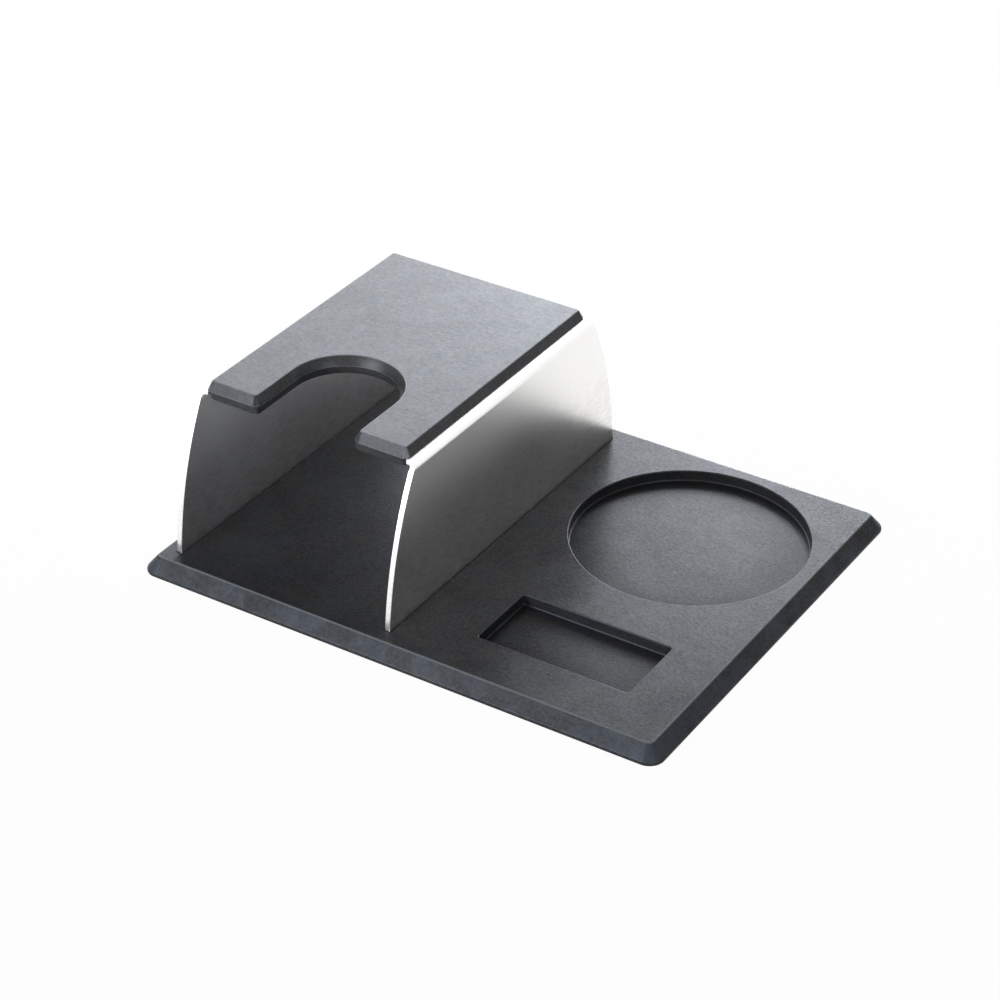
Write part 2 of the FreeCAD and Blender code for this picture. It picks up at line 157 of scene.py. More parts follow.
# The thin rounded rims, which are worn paler and also carry a painted highlight
RIM = "rim"
RIM_WIDTH = 0.2
RIM_TILT = 0.1
RIM_ABOVE = 5.0
RIM_OUTSIDE = 1.0
RIM_OF_RECESS = 0.15
RIM_LOW = 0.12
RIM_WEAR_AND_HIGHLIGHT_IN_COLOUR = 0.6
RIM_IN_BLOOM = 0.8
RECESSES_FROM = 5.0

# The mat's sloped sides, which are dusty in patches
SLOPE = "slope"
SLOPE_ABOVE = 1.0
SLOPE_TILT = (0.5, 0.98)

# Colours of the steel: low on its sides, painted darker as shade, above, and in the bright streaks
STEEL_PAINTED_SHADE = (0.80, 0.785, 0.765)
STEEL_DARK = (0.96, 0.95, 0.935)
STEEL_PALE = (1.0, 0.992, 0.98)
STEEL_SHADE_HEIGHTS = (0.020, 0.055)

# Patterns of the steel: waves a metre, detail, roughness, distortion and stretch
STREAK = (1000, 2, 0.6, 0.0, (1.0, 0.2, 1.0))
BLOT = (70, 5, 0.65, 0.5)
STREAK_BETWEEN = (0.35, 0.65)
BLOT_BETWEEN = (0.3, 0.7)
STREAK_IN_COLOUR = 0.65
BLOT_IN_COLOUR = 0.35

# The steel's roughness is 0.28 or more everywhere, because less leaves dots and lines in the render
SATIN = 0.28
STREAK_IN_SATIN = 0.03
SATIN_ABOVE = 0.06
SATIN_UPPER_PART = (0.030, 0.060)
DULL_BETWEEN = (0.40, 0.70)
DULL_SHARE = 0.04

# Camera, matched to the photograph: its place in metres, its angles in degrees and its lens in millimetres
CAMERA_PLACE = (0.44586, -0.72332, 0.56979)
CAMERA_TURN = 32.1098
CAMERA_CLIMB = 32.8603
CAMERA_ROLL = 0.3534
CAMERA_SENSOR = 36.0
CAMERA_LENS = 102.43
CAMERA_CLIP = (0.05, 20.0)

# Room and floor
AMBIENT = 0.05
FLOOR_REACH = 4.0
FLOOR_PAINT = (0.85, 0.85, 0.85)
FLOOR_WHITE = 0.97

# Lamps: place, target, width and height in metres, and power in watts
DAYLIGHT = (0.95, 1.0, 1.09)
LAMPS = {
    "left window": ((-0.50, 0.57, 0.46), (0.0, 0.0, 0.03), (0.48, 0.30), 2.9),
    "back window": ((-0.20, 0.62, 0.36), (0.0, 0.0, 0.02), (0.28, 0.14), 0.65),
    "low back window": ((-0.32, 0.88, 0.30), (0.05, 0.05, 0.0), (0.50, 0.20), 3.2),
    "back strip": ((-0.03, 0.38, 0.18), (0.07, 0.07, 0.0), (0.20, 0.07), 0.6),
    "front window": ((-0.38, -0.95, 0.36), (0.0, 0.0, 0.03), (0.6, 0.42), 8.2),
    "right front window": ((0.80, -0.50, 0.28), (0.05, 0.0, 0.0), (0.5, 0.3), 1.8),
}

# Facets of the curves
ROUND_FACETS = 144
NOTCH_FACETS = 48
BEND_FACETS = 16
CORNER_FACETS = 8
EDGE_FACETS = 4
PAD_EDGE_FACETS = 3
STUD_FACETS = 24
SIDE_FACETS = 24

# Tests on faces and edges: angles in radians, lengths in millimetres
SHARP = 0.75
SQUARE = 1.0
FLAT_AREA = 60.0
LEVEL = 0.9999
FACES_UP = 0.99
NEAR = 1e-3
SAME = 1e-6


# Meshes

def flat_face(mesh, points, height):
    """One face through those plan points, at that height."""
    return mesh.faces.new([mesh.verts.new((x, y, height)) for x, y in points])


def round_corner(mesh, corner, radius, facets):
    """Rounds one corner of a flat face."""
    bmesh.ops.bevel(
        mesh, geom=[corner], offset=radius, segments=facets, profile=0.5, affect="VERTICES", material=-1,
    )


def notched_points(half_width, half_length, notch_half):
    """Corners of a rectangle with a square notch in its front, which is then rounded to a half circle."""
    notch_end = NOTCH_CENTRE + notch_half
    return [
        (-half_width, -half_length), (-notch_half, -half_length), (-notch_half, notch_end),
        (notch_half, notch_end), (notch_half, -half_length), (half_width, -half_length),
        (half_width, half_length), (-half_width, half_length),
    ]


def notched_face(mesh, half_width, half_length, notch_half, height):
    """A flat face with rounded corners and a round-ended notch in its front."""
    face = flat_face(mesh, notched_points(half_width, half_length, notch_half), height)
    radii = [
        PAD_CORNER, PAD_MOUTH_CORNER, notch_half, notch_half,
        PAD_MOUTH_CORNER, PAD_CORNER, PAD_CORNER, PAD_CORNER,
    ]
    for vert, radius in zip(list(face.verts), radii):
        round_corner(mesh, vert, radius, NOTCH_FACETS // 2 if radius == notch_half else CORNER_FACETS)
    bmesh.ops.remove_doubles(mesh, verts=mesh.verts[:], dist=NEAR)
    return mesh.faces[:][0]


def turned_edge(radius, facets, concave=False):
    """Steps (inwards, down) over a quarter turn: from level to upright, or from upright to level."""
    angles = [math.pi / 2 * i / facets for i in range(facets + 1)]
    if concave:
        places = [(radius * (1 - math.cos(a)), radius * math.sin(a)) for a in angles]
    else:
        places = [(radius * math.sin(a), radius * (1 - math.cos(a))) for a in angles]
    return [(b[0] - a[0], b[1] - a[1]) for a, b in zip(places, places[1:])]


def inset_steps(mesh, face, steps):
    """Moves a face inwards and against its normal, step by step, and returns the edges left where it was."""
    face.normal_update()
    known = set(mesh.edges)
    for inwards, down in steps:
        bmesh.ops.inset_individual(mesh, faces=[face], thickness=inwards, depth=-down, use_even_offset=True)
    return [edge for edge in mesh.edges if edge.is_boundary and edge not in known]


def sink(mesh, face, depth, edge, foot):
    """Sinks a face into a recess with a rounded rim and a rounded foot, and returns its edges at the rim."""
    steps = turned_edge(edge, EDGE_FACETS)
    steps += [(0.0, depth - edge - foot)]
    steps += turned_edge(foot, EDGE_FACETS, concave=True)
    return inset_steps(mesh, face, steps)


def fill_between(mesh, loops, upwards):
    """Fills the plane between an outline and the holes in it."""
    edges = [edge for loop in loops for edge in loop]
    bmesh.ops.triangle_fill(
        mesh, use_beauty=True, use_dissolve=False, edges=edges, normal=(0, 0, 1 if upwards else -1),
    )


def open_face(mesh, face):
    """Takes a face away and returns the edges that were round it."""
    edges = list(face.edges)
    bmesh.ops.delete(mesh, geom=[face], context="FACES_ONLY")
    return edges


def level_face(mesh, height, way):
    """The largest level face at a height, which faces up with way 1 and down with -1."""
    level = [
        f for f in mesh.faces
        if abs(f.calc_center_median().z - height) < NEAR and f.normal.z * way > FACES_UP
    ]
    return max(level, key=lambda f: f.calc_area())


def rim_wear_and_highlight(place):
    """How worn a thin rim is, and how strong its painted highlight: most on the outer edges, less round a
    recess and least at its foot.
    """
    if place.z <= RIM_ABOVE:
        return RIM_LOW
    beside_bridge = RECESSES_FROM < place.x < MAT_HALF_LENGTH - 2 * MAT_SLOPE_IN
    off_the_ends = abs(place.y) < MAT_HALF_DEPTH - 2 * MAT_SLOPE_IN
    if beside_bridge and off_the_ends and place.z < MAT_HEIGHT:
        return RIM_OF_RECESS
    return RIM_OUTSIDE


def mark_rims_and_slopes(mesh):
    """Records on the faces which are rims, worn paler with a painted highlight, and which are the mat's
    sloped sides, for the rubber.
    """
    rim = mesh.faces.layers.float.new(RIM)
    slope = mesh.faces.layers.float.new(SLOPE)
    for face in mesh.faces:
        middle = face.calc_center_median()
        if SLOPE_ABOVE < middle.z < MAT_HEIGHT and SLOPE_TILT[0] < face.normal.z < SLOPE_TILT[1]:
            face[slope] = 1.0
        short = min(edge.calc_length() for edge in face.edges)
        if short < RIM_WIDTH and RIM_TILT < face.normal.z < LEVEL:
            face[rim] = rim_wear_and_highlight(middle)


def finish(mesh, name, material, node):
    """Makes the finished object in metres, with level and upright faces flat and all curves smooth."""
    bmesh.ops.recalc_face_normals(mesh, faces=mesh.faces[:])
    mark_rims_and_slopes(mesh)
    for face in mesh.faces:
        face.smooth = face.calc_area() < FLAT_AREA and abs(face.normal.z) < LEVEL
    for edge in mesh.edges:
        edge.smooth = edge.calc_face_angle(0) < SHARP
    bmesh.ops.transform(mesh, matrix=Matrix.Scale(MM, 4), verts=mesh.verts[:])
    data = bpy.data.meshes.new(name)
    mesh.to_mesh(data)
    mesh.free()
    data.materials.append(material)
    piece = bpy.data.objects.new(name, data)
    scene.collection.objects.link(piece)
    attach(piece, "root")
    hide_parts(node)
    return piece


def bridge_place(mesh):
    """Moves what was drawn about the bridge's middle to its place on the mat."""
    bmesh.ops.translate(mesh, vec=(BRIDGE_ACROSS, 0, 0), verts=mesh.verts[:])


def sunk_slot(mesh, near, far, half_length, height, depth):
    """Makes an upright-sided hole in the mat and returns its edges at both ends. A negative depth goes up."""
    points = [(near, -half_length), (far, -half_length), (far, half_length), (near, half_length)]
    face = flat_face(mesh, [(BRIDGE_ACROSS + x, y) for x, y in points], height)
    face.normal_update()
    rim = inset_steps(mesh, face, [(0, depth * face.normal.z)])
    return rim, open_face(mesh, face)


def turned_stud(mesh, across, along):
    """A round stud with a head, turned about an upright line."""
    verts = [mesh.verts.new((across + r, along, z)) for r, z in STUD_LINE]
    line = [mesh.edges.new(pair) for pair in zip(verts, verts[1:])]
    bmesh.ops.spin(
        mesh, geom=verts + line, cent=(across, along, 0), axis=(0, 0, 1), angle=math.tau, steps=STUD_FACETS,
        use_duplicate=False, use_merge=True,
    )
    middle = Vector((across, along))
    seam = [v for v in mesh.verts if v.is_wire or v.is_boundary or (v.co.xy - middle).length < NEAR]
    bmesh.ops.remove_doubles(mesh, verts=seam, dist=NEAR)


def make_mat(material):
    """The moulded mat, with its recesses, the slots and pockets for the feet, and the studs."""
    mesh = bmesh.new()
    x, y = MAT_HALF_LENGTH, MAT_HALF_DEPTH
    base = flat_face(mesh, [(-x, -y), (x, -y), (x, y), (-x, y)], 0)
    for corner in list(base.verts):
        round_corner(mesh, corner, MAT_FOOT_CORNER, CORNER_FACETS)
    top = mesh.faces[:][0]
    bmesh.ops.inset_individual(mesh, faces=[top], thickness=0, depth=MAT_RIM_HEIGHT, use_even_offset=True)
    bmesh.ops.inset_individual(
        mesh, faces=[top], thickness=0, depth=MAT_HEIGHT - MAT_RIM_HEIGHT, use_even_offset=True,
    )
    foot_middle = Vector((x - MAT_FOOT_CORNER, y - MAT_FOOT_CORNER))
    top_middle = Vector((x - MAT_SLOPE_IN - MAT_TOP_CORNER, y - MAT_SLOPE_IN - MAT_TOP_CORNER))
    for vert in top.verts:
        hands = Vector((math.copysign(1, vert.co.x), math.copysign(1, vert.co.y)))
        way = (vert.co.xy - foot_middle * hands) / MAT_FOOT_CORNER
        vert.co.xy = top_middle * hands + way * MAT_TOP_CORNER
    outline = [edge for edge in mesh.edges if edge.is_boundary]
    bmesh.ops.holes_fill(mesh, edges=outline, sides=0)
    bmesh.ops.recalc_face_normals(mesh, faces=mesh.faces[:])
    rings = [e for e in mesh.edges if abs(e.verts[0].co.z - e.verts[1].co.z) < SAME]
    bmesh.ops.bevel(
        mesh, geom=rings, offset=MAT_EDGE, segments=EDGE_FACETS, profile=0.5, affect="EDGES", material=-1,
    )

    top_loops = [open_face(mesh, level_face(mesh, MAT_HEIGHT, 1))]
    under_loops = [open_face(mesh, level_face(mesh, 0, -1))]

    disc = bmesh.ops.create_circle(mesh, cap_ends=True, segments=ROUND_FACETS, radius=ROUND_RADIUS + MAT_EDGE)
    bmesh.ops.translate(mesh, vec=(*ROUND_CENTRE, MAT_HEIGHT), verts=disc["verts"])
    disc_face = disc["verts"][0].link_faces[0]
    top_loops.append(sink(mesh, disc_face, RECESS_DEPTH, MAT_EDGE, RECESS_FOOT))

    x, y = (side / 2 + MAT_EDGE for side in OBLONG_SIZE)
    across, along = OBLONG_CENTRE
    oblong = flat_face(mesh, [
        (across - x, along - y), (across + x, along - y), (across + x, along + y), (across - x, along + y),
    ], MAT_HEIGHT)
    for corner in list(oblong.verts):
        round_corner(mesh, corner, OBLONG_CORNER + MAT_EDGE, CORNER_FACETS)
    oblong = mesh.faces[:][-1]
    top_loops.append(sink(mesh, oblong, RECESS_DEPTH, MAT_EDGE, RECESS_FOOT))

    foot_top = FOOT_BOTTOM + SHEET
    for hand in (-1, 1):
        outside = (BRIDGE_HALF_WIDTH + FOOT_GAP) * hand
        inside = (BRIDGE_HALF_WIDTH - SHEET - FOOT_GAP) * hand
        free_end = (BRIDGE_HALF_WIDTH - FOOT_WIDTH - FOOT_END_GAP) * hand
        half_length = FOOT_HALF_LENGTH + FOOT_GAP
        slot_rim, slot_foot = sunk_slot(mesh, inside, outside, half_length, MAT_HEIGHT, MAT_HEIGHT - foot_top)
        pocket_rim, ceiling = sunk_slot(
            mesh, free_end, outside + POCKET_LEDGE * hand, half_length + POCKET_LEDGE, 0, -foot_top,
        )
        top_loops.append(slot_rim)
        under_loops.append(pocket_rim)
        fill_between(mesh, [slot_foot, ceiling], False)
    fill_between(mesh, top_loops, True)
    fill_between(mesh, under_loops, False)
    for hand in (-1, 1):
        for step in (-1, 0, 1):
            turned_stud(mesh, BRIDGE_ACROSS + STUD_ACROSS * hand, STUD_SPACING * step)
    return finish(mesh, "rubber_mat_moulded", material, "rubber_mat")


def side_end(height):
    """How far to the front and back the curved end of a side reaches, at a height."""
    if height < MAT_HEIGHT:
        return FOOT_HALF_LENGTH
    low, high = Vector((FOOT_HALF_LENGTH, MAT_HEIGHT)), Vector((SIDE_TOP_HALF_LENGTH, BRIDGE_TOP))
    chord = high - low
    back = math.sqrt(SIDE_END_RADIUS**2 - chord.length_squared / 4)
    middle = (low + high) / 2 + Vector((-chord.y, chord.x)).normalized() * back
    return middle.x + math.sqrt(SIDE_END_RADIUS**2 - (height - middle.y) ** 2)


def bend_section():
    """Half of the bridge's outer line, from the top's edge down the side and in along the foot."""
    inner = BRIDGE_HALF_WIDTH - OUTER_BEND
    points = []
    for i in range(1, BEND_FACETS + 1):
        angle = math.pi / 2 * i / BEND_FACETS
        points.append((inner + OUTER_BEND * math.sin(angle), BRIDGE_TOP - OUTER_BEND * (1 - math.cos(angle))))
    top, bottom = BRIDGE_TOP - OUTER_BEND, FOOT_BOTTOM + OUTER_BEND
    for i in range(1, SIDE_FACETS + 1):
        points.append((BRIDGE_HALF_WIDTH, top + (MAT_HEIGHT - top) * i / SIDE_FACETS))
    points.append((BRIDGE_HALF_WIDTH, bottom))
    for i in range(1, EDGE_FACETS + 1):
        angle = math.pi / 2 * i / EDGE_FACETS
        points.append((inner + OUTER_BEND * math.cos(angle), bottom - OUTER_BEND * math.sin(angle)))
    return points


def make_bridge(material):
    """The bent sheet: a notched top, two sides with curved ends, and feet with holes for the studs."""
    mesh = bmesh.new()
    inner = BRIDGE_HALF_WIDTH - OUTER_BEND
    end = STEEL_NOTCH_HALF + NOTCH_CENTRE
    right = [
        (STEEL_NOTCH_HALF, end), (STEEL_NOTCH_HALF, -STEEL_TOP_END), (BESIDE_LIP, -STEEL_TOP_END),
        (BESIDE_LIP, -SIDE_TOP_HALF_LENGTH), (inner, -SIDE_TOP_HALF_LENGTH),
        (inner, SIDE_TOP_HALF_LENGTH), (BESIDE_LIP, SIDE_TOP_HALF_LENGTH), (BESIDE_LIP, STEEL_TOP_END),
    ]
    left = [(-x, y) for x, y in reversed(right)]
    top = flat_face(mesh, right + left, BRIDGE_TOP)
    corners = list(top.verts)
    for corner in (corners[0], corners[-1]):
        round_corner(mesh, corner, STEEL_NOTCH_HALF, NOTCH_FACETS // 2)
    bmesh.ops.remove_doubles(mesh, verts=mesh.verts[:], dist=NEAR)
    for hand in (-1, 1):
        edge = [
            e for e in mesh.edges
            if all(abs(v.co.x - inner * hand) < NEAR and abs(v.co.z - BRIDGE_TOP) < NEAR for v in e.verts)
        ]
        for x, z in bend_section():
            made = bmesh.ops.extrude_edge_only(mesh, edges=edge)["geom"]
            edge = [g for g in made if isinstance(g, bmesh.types.BMEdge) and len(g.link_faces) < 2]
            for vert in (g for g in made if isinstance(g, bmesh.types.BMVert)):
                vert.co = Vector((x * hand, math.copysign(side_end(z), vert.co.y), z))
        made = bmesh.ops.extrude_edge_only(mesh, edges=edge)["geom"]
        for vert in (g for g in made if isinstance(g, bmesh.types.BMVert)):
            vert.co.x = (BRIDGE_HALF_WIDTH - FOOT_WIDTH) * hand
        plate = [g for g in made if isinstance(g, bmesh.types.BMFace)][0]
        loops = [open_face(mesh, plate)]
        for step in (-1, 0, 1):
            hole = bmesh.ops.create_circle(
                mesh, cap_ends=False, segments=STUD_FACETS, radius=STUD_HOLE_RADIUS,
            )["verts"]
            bmesh.ops.translate(mesh, vec=(STUD_ACROSS * hand, STUD_SPACING * step, FOOT_BOTTOM), verts=hole)
            loops.append(list({e for v in hole for e in v.link_edges}))
        fill_between(mesh, loops, False)
    bmesh.ops.recalc_face_normals(mesh, faces=mesh.faces[:])
    if max(mesh.faces, key=lambda f: f.calc_center_median().z).normal.z < 0:
        bmesh.ops.reverse_faces(mesh, faces=mesh.faces[:])
    bmesh.ops.solidify(mesh, geom=mesh.faces[:], thickness=SHEET)
    cut = [
        e for e in mesh.edges
        if len(e.link_faces) == 2 and e.calc_face_angle(0) > SQUARE
        and all(abs(v.co.x) > BESIDE_LIP and v.co.z > MAT_HEIGHT - NEAR for v in e.verts)
    ]
    bmesh.ops.bevel(mesh, geom=cut, offset=CUT_EDGE, segments=1, profile=0.5, affect="EDGES", material=-1)
    bridge_place(mesh)
    return finish(mesh, "steel_bridge_bent", material, "steel_bridge")


def make_pad(material):
    """The moulded pad: a notched slab with sloped sides, and the lip that wraps the steel's edges."""
    mesh = bmesh.new()
    face = notched_face(mesh, PAD_HALF_WIDTH, PAD_HALF_LENGTH, PAD_NOTCH_HALF, BRIDGE_TOP)
    bmesh.ops.inset_individual(
        mesh, faces=[face], thickness=PAD_SLOPE_IN, depth=PAD_HEIGHT, use_even_offset=True,
    )
    outline = [edge for edge in mesh.edges if edge.is_boundary]
    bmesh.ops.holes_fill(mesh, edges=outline, sides=0)
    rings = [e for e in mesh.edges if abs(e.verts[0].co.z - e.verts[1].co.z) < SAME]
    bmesh.ops.bevel(
        mesh, geom=rings, offset=PAD_EDGE, segments=PAD_EDGE_FACETS, profile=0.5, affect="EDGES", material=-1,
    )
    add_lip(mesh)
    bridge_place(mesh)
    return finish(mesh, "top_pad_moulded", material, "top_pad")


def lip_section():
    """Section of the lip: offsets from its outer wall, and heights."""
    low = BRIDGE_TOP - SHEET - LIP_UNDER
    shelf = low + LIP_UNDER
    tie = BRIDGE_TOP + PAD_EDGE * 2
    return [(0, low), (LIP_WALL + LIP_REACH, low), (LIP_WALL + LIP_REACH, shelf),
            (LIP_WALL, shelf), (LIP_WALL, tie), (0, tie)]


def add_lip(mesh):
    """Adds the lip along the front and round the notch, and a straight one along the back."""
    section = lip_section()
    old = set(mesh.faces)
    ring = mesh.faces.new([mesh.verts.new((LIP_NOTCH_HALF + out, NOTCH_CENTRE, z)) for out, z in section])
    made = bmesh.ops.spin(
        mesh, geom=[ring], cent=(0, NOTCH_CENTRE, 0), axis=(0, 0, 1), angle=math.pi, steps=NOTCH_FACETS,
        use_duplicate=False, use_merge=False,
    )["geom_last"]
    last = [g for g in made if isinstance(g, bmesh.types.BMFace)]
    for end, hand in ((ring, 1), (last[0], -1)):
        reach = extruded(mesh, end)
        for vert in reach.verts:
            vert.co.y = -LIP_HALF_LENGTH + abs(vert.co.x) - LIP_NOTCH_HALF
        tip = extruded(mesh, reach)
        for vert in tip.verts:
            vert.co.x = LIP_HALF_WIDTH * hand
    back = mesh.faces.new([
        mesh.verts.new((-LIP_HALF_WIDTH, LIP_HALF_LENGTH - out, z)) for out, z in section
    ])
    far = extruded(mesh, back, keep=True)
    for vert in far.verts:
        vert.co.x = LIP_HALF_WIDTH
    new = [f for f in mesh.faces if f not in old]
    bmesh.ops.recalc_face_normals(mesh, faces=new)
    edges = {e for f in new for e in f.edges}
    corners = [
        e for e in edges
        if abs(e.verts[0].co.z - e.verts[1].co.z) > LIP_UNDER
        and all(abs(abs(v.co.y) - LIP_HALF_LENGTH) < NEAR for v in e.verts)
    ]
    bmesh.ops.bevel(
        mesh, geom=corners, offset=LIP_CORNER, segments=CORNER_FACETS, profile=0.5, affect="EDGES",
        material=-1,
    )
    low = BRIDGE_TOP - SHEET - LIP_UNDER
    rim = [
        e for e in mesh.edges
        if all(abs(v.co.z - low) < NEAR for v in e.verts) and e.calc_face_angle(0) > SQUARE
    ]
    bmesh.ops.bevel(
        mesh, geom=rim, offset=LIP_EDGE, segments=PAD_EDGE_FACETS, profile=0.5, affect="EDGES",
        material=-1,
    )


def extruded(mesh, face, keep=False):
    """Extrudes an end face and returns the face at the new end. The old one is kept only to close a part."""
    made = bmesh.ops.extrude_face_region(mesh, geom=[face], use_keep_orig=keep)["geom"]
    if not keep and face.is_valid:
        bmesh.ops.delete(mesh, geom=[face], context="FACES_ONLY")
    return [g for g in made if isinstance(g, bmesh.types.BMFace)][0]


# Materials

class Shade:
    """A value on its way through a material's nodes, on which arithmetic adds Math nodes."""

    def __init__(self, tree, socket=None):
        self.tree = tree
        self.socket = socket

    def node(self, kind, settings=None, sockets=None, out=0):
        """Adds a node, gives it its settings and then its sockets, and returns one of its outputs."""
        made = self.tree.nodes.new(kind)
        for name, value in (settings or {}).items():
            setattr(made, name, value)
        for name, value in (sockets or {}).items():
            if isinstance(value, Shade):
                self.tree.links.new(value.socket, made.inputs[name])
            elif made.inputs[name].type == "RGBA":
                made.inputs[name].default_value = (*value[:3], 1)
            else:
                made.inputs[name].default_value = value
        return Shade(self.tree, made.outputs[out])

    def math(self, operation, *values):
        return self.node("ShaderNodeMath", {"operation": operation}, dict(enumerate(values)))

    def __add__(self, other):
        return self.math("ADD", self, other)

    def __sub__(self, other):
        return self.math("SUBTRACT", self, other)

    def __rsub__(self, other):
        return self.math("SUBTRACT", other, self)

    def __mul__(self, other):
        return self.math("MULTIPLY", self, other)

    def __pow__(self, other):
        return self.math("POWER", self, other)

    __radd__ = __add__
    __rmul__ = __mul__

    def absolute(self):
        return self.math("ABSOLUTE", self)

    def below(self, limit):
        return self.math("LESS_THAN", self, limit)

    def above(self, limit):
        return self.math("GREATER_THAN", self, limit)

    def larger(self, other):
        return self.math("MAXIMUM", self, other)

    def ease(self, low, high, start=0.0, end=1.0):
        """Goes smoothly from start, where this value is low, to end, where it is high."""
        return self.node("ShaderNodeMapRange", {"interpolation_type": "SMOOTHSTEP"},
                         {"Value": self, "From Min": low, "From Max": high, "To Min": start, "To Max": end})

    def between(self, first, second):
        """A colour between two, with this value as the share of the second."""
        return self.node("ShaderNodeMix", {"data_type": "RGBA"}, {0: self, 6: first, 7: second}, out=2)


def new_material(name):
    """An empty material with a Principled shader, and the place on the piece that its patterns read."""
    material = bpy.data.materials.new(name)
    material.use_nodes = True
    tree = material.node_tree
    surface = tree.nodes["Principled BSDF"]
    start = Shade(tree)
    place = start.node("ShaderNodeTexCoord", out="Object")
    return material, surface, start, place


def noise(place, scale, detail, rough, distort=0.0, stretch=(1, 1, 1)):
    """A soft noise from 0 to 1 with that many waves a metre, stretched as wanted."""
    spread = place.node("ShaderNodeMapping", None, {"Vector": place, "Scale": stretch})
    return place.node("ShaderNodeTexNoise", None, {
        "Vector": spread, "Scale": scale, "Detail": detail, "Roughness": rough, "Distortion": distort,
    })


def dress(tree, surface, links):
    """Links what varies to the shader."""
    for name, shade in links.items():
        tree.links.new(shade.socket, surface.inputs[name])


def along_axes(place):
    """The place's distances along X, Y and Z."""
    return [place.node("ShaderNodeSeparateXYZ", None, {"Vector": place}, out=axis) for axis in range(3)]


def bloom_with_painted_shade(place):
    """Share of the bloom on the mat, cut back as painted shade: less on the recesses' floors and walls, and
    under the bridge.
    """
    x, y, z = along_axes(place)
    reach = ((x - ROUND_CENTRE[0] * MM) ** 2 + (y - ROUND_CENTRE[1] * MM) ** 2) ** 0.5
    round_share = reach.ease((ROUND_RADIUS - SOFT_SHADE) * MM, ROUND_RADIUS * MM, *BLOOM_IN_PAINTED_FLOOR_SHADE)
    in_round = reach.below((ROUND_RADIUS + MAT_EDGE / 2) * MM)
    past_x, past_y = (
        (line - middle * MM).absolute() - side / 2 * MM
        for line, middle, side in zip((x, y), OBLONG_CENTRE, OBLONG_SIZE)
    )
    past = past_x.larger(past_y)
    oblong_share = past.ease(-SOFT_SHADE * MM, 0.0, *BLOOM_IN_PAINTED_FLOOR_SHADE)
    in_oblong = past.below(MAT_EDGE / 2 * MM)
    inside_bridge = (x - BRIDGE_ACROSS * MM).absolute().below((BRIDGE_HALF_WIDTH - SHEET) * MM)
    on_top = z.above((MAT_HEIGHT - MAT_EDGE / 2) * MM)
    painted_bridge_shade = inside_bridge * on_top * (1 - BLOOM_IN_PAINTED_BRIDGE_SHADE)
    return 1 - in_round * (1 - round_share) - in_oblong * (1 - oblong_share) - painted_bridge_shade


def slot_shade(place):
    """Share of the colour and bloom beside the slots that the bridge stands in, cut back as painted shade:
    least along the steel.
    """
    x, y, _ = along_axes(place)
    from_sheet = (x - BRIDGE_ACROSS * MM).absolute() - (BRIDGE_HALF_WIDTH - SHEET / 2) * MM
    beside = from_sheet.absolute() - SHEET / 2 * MM
    past_end = y.absolute() - FOOT_HALF_LENGTH * MM
    near, far = (reach * MM for reach in SLOT_REACH)
    return beside.larger(past_end).ease(near, far, *SLOT_SHADE)


def rubber_material(name, gloss, shine, bloom, contrast, on_mat):
    """Matt moulded rubber: a fine speckled grain under a pale bloom, soft streaks and faint tints, with
    painted highlights on the rims and, on the mat, painted shade.
    """
    material, surface, start, place = new_material(name)
    surface.inputs["Specular IOR Level"].default_value = shine
    surface.inputs["Coat Roughness"].default_value = gloss
    grain, coarse, cloud, drift, tint = (noise(place, *p) for p in (GRAIN, COARSE, CLOUD, DRIFT, TINT))
    rim, slope = (
        start.node("ShaderNodeAttribute", {"attribute_name": layer}, out=2) for layer in (RIM, SLOPE)
    )
    tone = (grain - 0.5) * GRAIN_IN_TONE + (coarse - 0.5) * COARSE_IN_TONE
    tone = tone + (cloud - 0.5) * CLOUD_IN_TONE + (drift - 0.5) * DRIFT_IN_TONE
    colour = tone.ease(-TONE_TO_PALE, TONE_TO_PALE).between(RUBBER_DARK, RUBBER_PALE)
    colour = (tint.ease(*COOL_BETWEEN) * TINT_SHARE).between(colour, RUBBER_COOL)
    colour = (tint.ease(*WARM_BETWEEN) * TINT_SHARE).between(colour, RUBBER_WARM)
    dust = noise(place, *PATCH).ease(*DUST_BETWEEN) * DUST_IN_PATCH + DUST_EVERYWHERE
    colour = (slope * dust).between(colour, RUBBER_DUSTY)
    # Painted highlight, partly wear: the rims are paler
    colour = (rim * RIM_WEAR_AND_HIGHLIGHT_IN_COLOUR).between(colour, RUBBER_WORN_AND_HIGHLIGHT)
    coat = tone.ease(-TONE_TO_BLOOM, TONE_TO_BLOOM, bloom * (1 - contrast), bloom * (1 + contrast))
    # Painted shade: less bloom near the recess walls and under the bridge, and darker rubber at the slots
    if on_mat:
        shade = slot_shade(place)
        coat = coat * bloom_with_painted_shade(place) * shade
        colour = shade.between(RUBBER_PAINTED_SLOT_SHADE, colour)
    coat = coat + rim * RIM_IN_BLOOM
    rough = gloss + (drift - 0.5) * DRIFT_IN_GLOSS + (coarse - 0.5) * COARSE_IN_GLOSS
    height = grain * GRAIN_IN_BUMP + coarse * COARSE_IN_BUMP
    bump = start.node("ShaderNodeBump", None, {
        "Strength": BUMP_STRENGTH, "Distance": BUMP_DEPTH, "Height": height,
    })
    dress(start.tree, surface, {
        "Base Color": colour, "Roughness": rough, "Coat Weight": coat, "Normal": bump,
    })
    return material


